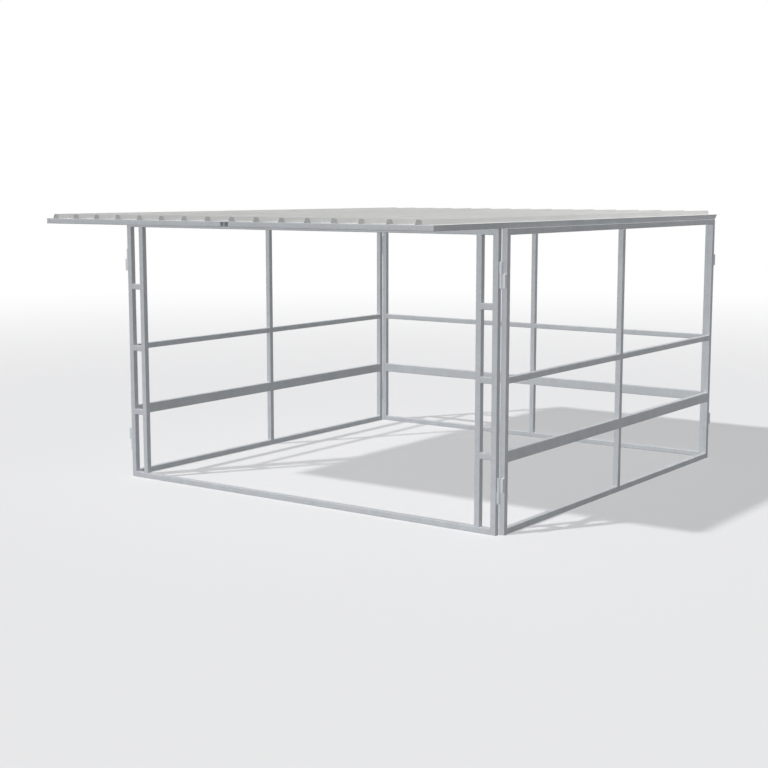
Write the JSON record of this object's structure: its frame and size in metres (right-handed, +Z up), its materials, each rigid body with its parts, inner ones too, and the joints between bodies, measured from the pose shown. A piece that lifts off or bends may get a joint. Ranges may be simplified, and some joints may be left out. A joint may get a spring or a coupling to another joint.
{
  "type": "stable shelter",
  "caption": "Stable shelter of welded steel tube: railed side and back panels and an open front, joined by drop-in-pin corner hinges, under a flat ribbed roof with a front canopy.",
  "frame": {"origin": "on the ground, at the middle of the whole shelter's length and width", "axes": "+X to the right along the front, +Y from the front to the back, +Z up"},
  "size_m": [3.696, 4.586, 2.2314],
  "materials": {
    "panel_tube": "hot-dip galvanised steel tube, dull light grey with faint mottling",
    "roof_tube": "hot-dip galvanised steel tube, dull light grey with faint mottling",
    "hinge_pin": "bright zinc-plated steel",
    "roof_sheet": "pale coated steel sheet, satin, slightly weathered"
  },
  "bodies": {
    "shelter": {"back_centre_post_high": "panel_tube", "back_centre_post_low": "panel_tube", "back_centre_post_mid": "panel_tube", "back_post_left": "panel_tube", "back_post_right": "panel_tube", "back_rail_bottom": "panel_tube", "back_rail_mid": "panel_tube", "back_rail_top": "panel_tube", "back_rail_wide": "panel_tube", "front_inner_post_left": "panel_tube", "front_inner_post_right": "panel_tube", "front_post_left": "panel_tube", "front_post_right": "panel_tube", "front_rung_left_high": "panel_tube", "front_rung_left_low": "panel_tube", "front_rung_left_mid": "panel_tube", "front_rung_right_high": "panel_tube", "front_rung_right_low": "panel_tube", "front_rung_right_mid": "panel_tube", "front_threshold_rail": "panel_tube", "front_top_rail": "panel_tube", "left_centre_post_high": "panel_tube", "left_centre_post_low": "panel_tube", "left_centre_post_mid": "panel_tube", "left_post_left": "panel_tube", "left_post_right": "panel_tube", "left_rail_bottom": "panel_tube", "left_rail_mid": "panel_tube", "left_rail_top": "panel_tube", "left_rail_wide": "panel_tube", "right_centre_post_high": "panel_tube", "right_centre_post_low": "panel_tube", "right_centre_post_mid": "panel_tube", "right_post_left": "panel_tube", "right_post_right": "panel_tube", "right_rail_bottom": "panel_tube", "right_rail_mid": "panel_tube", "right_rail_top": "panel_tube", "right_rail_wide": "panel_tube", "roof_back_beam_left": "roof_tube", "roof_back_beam_right": "roof_tube", "roof_centre_beam_left": "roof_tube", "roof_centre_beam_right": "roof_tube", "roof_front_beam_left": "roof_tube", "roof_front_beam_right": "roof_tube", "roof_purlin_left": "roof_tube", "roof_purlin_right": "roof_tube", "roof_sheet_left": "roof_sheet", "roof_sheet_middle": "roof_sheet", "roof_sheet_right": "roof_sheet", "roof_side_beam_left": "roof_tube", "roof_side_beam_right": "roof_tube"},
    "pin_back_left_lower": {"pin_back_left_lower": "hinge_pin"},
    "pin_back_left_upper": {"pin_back_left_upper": "hinge_pin"},
    "pin_back_right_lower": {"pin_back_right_lower": "hinge_pin"},
    "pin_back_right_upper": {"pin_back_right_upper": "hinge_pin"},
    "pin_front_left_lower": {"pin_front_left_lower": "hinge_pin"},
    "pin_front_left_upper": {"pin_front_left_upper": "hinge_pin"},
    "pin_front_right_lower": {"pin_front_right_lower": "hinge_pin"},
    "pin_front_right_upper": {"pin_front_right_upper": "hinge_pin"}
  },
  "joints": [
    {"name": "pin_back_left_lower_lift", "type": "slide", "parent": "shelter", "child": "pin_back_left_lower", "axis": [0, 0, 1], "range_m": [0, 0.19]},
    {"name": "pin_back_left_upper_lift", "type": "slide", "parent": "shelter", "child": "pin_back_left_upper", "axis": [0, 0, 1], "range_m": [0, 0.19]},
    {"name": "pin_back_right_lower_lift", "type": "slide", "parent": "shelter", "child": "pin_back_right_lower", "axis": [0, 0, 1], "range_m": [0, 0.19]},
    {"name": "pin_back_right_upper_lift", "type": "slide", "parent": "shelter", "child": "pin_back_right_upper", "axis": [0, 0, 1], "range_m": [0, 0.19]},
    {"name": "pin_front_left_lower_lift", "type": "slide", "parent": "shelter", "child": "pin_front_left_lower", "axis": [0, 0, 1], "range_m": [0, 0.19]},
    {"name": "pin_front_left_upper_lift", "type": "slide", "parent": "shelter", "child": "pin_front_left_upper", "axis": [0, 0, 1], "range_m": [0, 0.19]},
    {"name": "pin_front_right_lower_lift", "type": "slide", "parent": "shelter", "child": "pin_front_right_lower", "axis": [0, 0, 1], "range_m": [0, 0.19]},
    {"name": "pin_front_right_upper_lift", "type": "slide", "parent": "shelter", "child": "pin_front_right_upper", "axis": [0, 0, 1], "range_m": [0, 0.19]}
  ]
}
